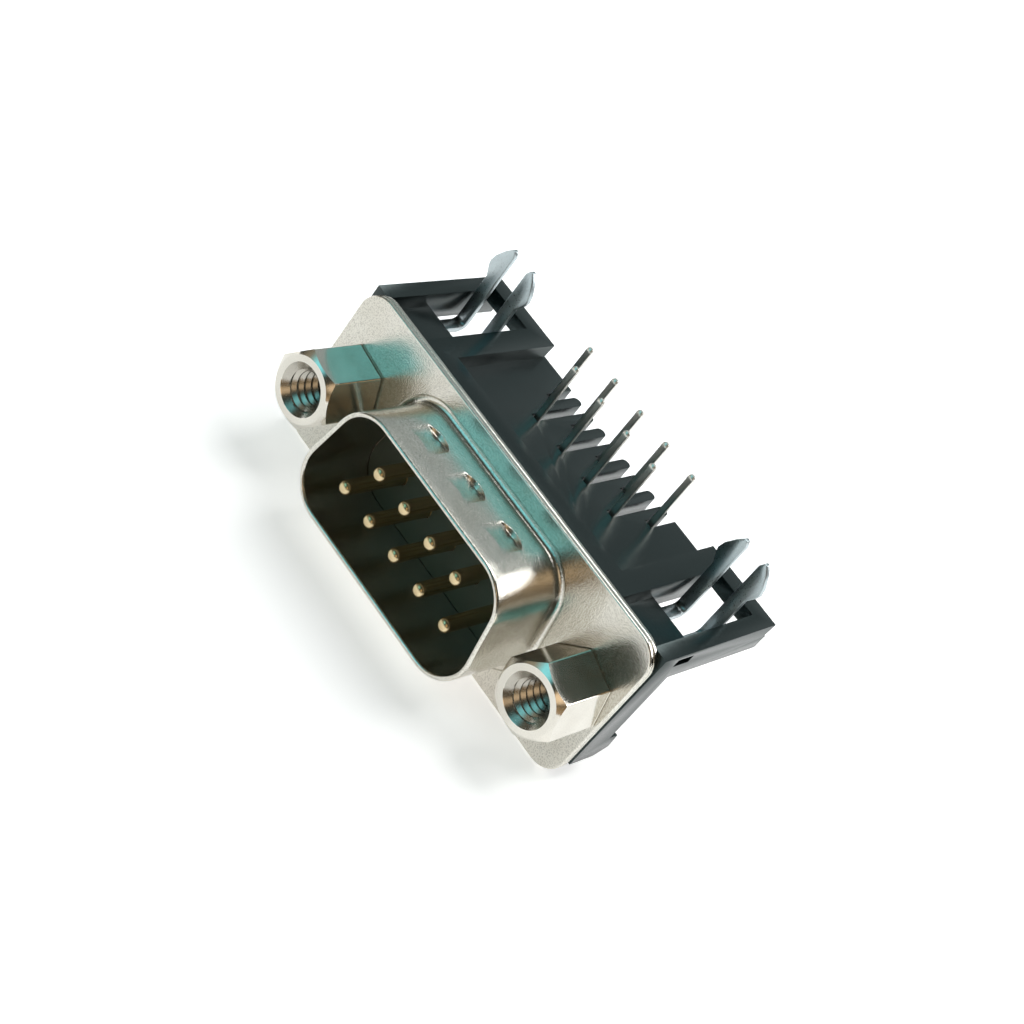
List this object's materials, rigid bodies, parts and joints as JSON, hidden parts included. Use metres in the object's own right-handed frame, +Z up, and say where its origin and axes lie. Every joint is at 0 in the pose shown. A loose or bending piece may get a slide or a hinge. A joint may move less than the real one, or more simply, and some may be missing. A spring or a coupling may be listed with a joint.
{
  "type": "d-sub connector",
  "caption": "Right-angle D-subminiature plug for a circuit board, with a metal D shell, pins in two rows, hexagonal jackscrews, a comb of bent solder tails and snap-in boardlocks.",
  "frame": {"origin": "middle of the flange's rear face, where its plane meets the board's surface; the board's edge stops there", "axes": "+X along the connector, to the right seen from the mating side; -Y is the mating side; +Z points up off the board"},
  "size_m": [0.031, 0.0187, 0.0167],
  "materials": {
    "front_shell": "satin nickel plate on drawn steel",
    "rear_shell": "satin nickel plate on drawn steel",
    "insulator_front": "black glass-filled polyester, semi-gloss",
    "insulator_rear": "black glass-filled polyester, semi-gloss",
    "bracket": "black moulded plastic, glossy",
    "contacts": "brass, gold flash on the mating pins and bright tin on the tails",
    "jackscrews": "bright nickel plate on turned steel",
    "boardlocks": "bright tin plate on stamped strip"
  },
  "bodies": {
    "root": {"front_shell": "front_shell", "rear_shell": "rear_shell", "insulator_front": "insulator_front", "insulator_rear": "insulator_rear", "bracket": "bracket", "contact_1": "contacts", "contact_2": "contacts", "contact_3": "contacts", "contact_4": "contacts", "contact_5": "contacts", "contact_6": "contacts", "contact_7": "contacts", "contact_8": "contacts", "contact_9": "contacts", "jackscrew_left": "jackscrews", "jackscrew_right": "jackscrews", "boardlock_left": "boardlocks", "boardlock_right": "boardlocks"}
  },
  "joints": []
}
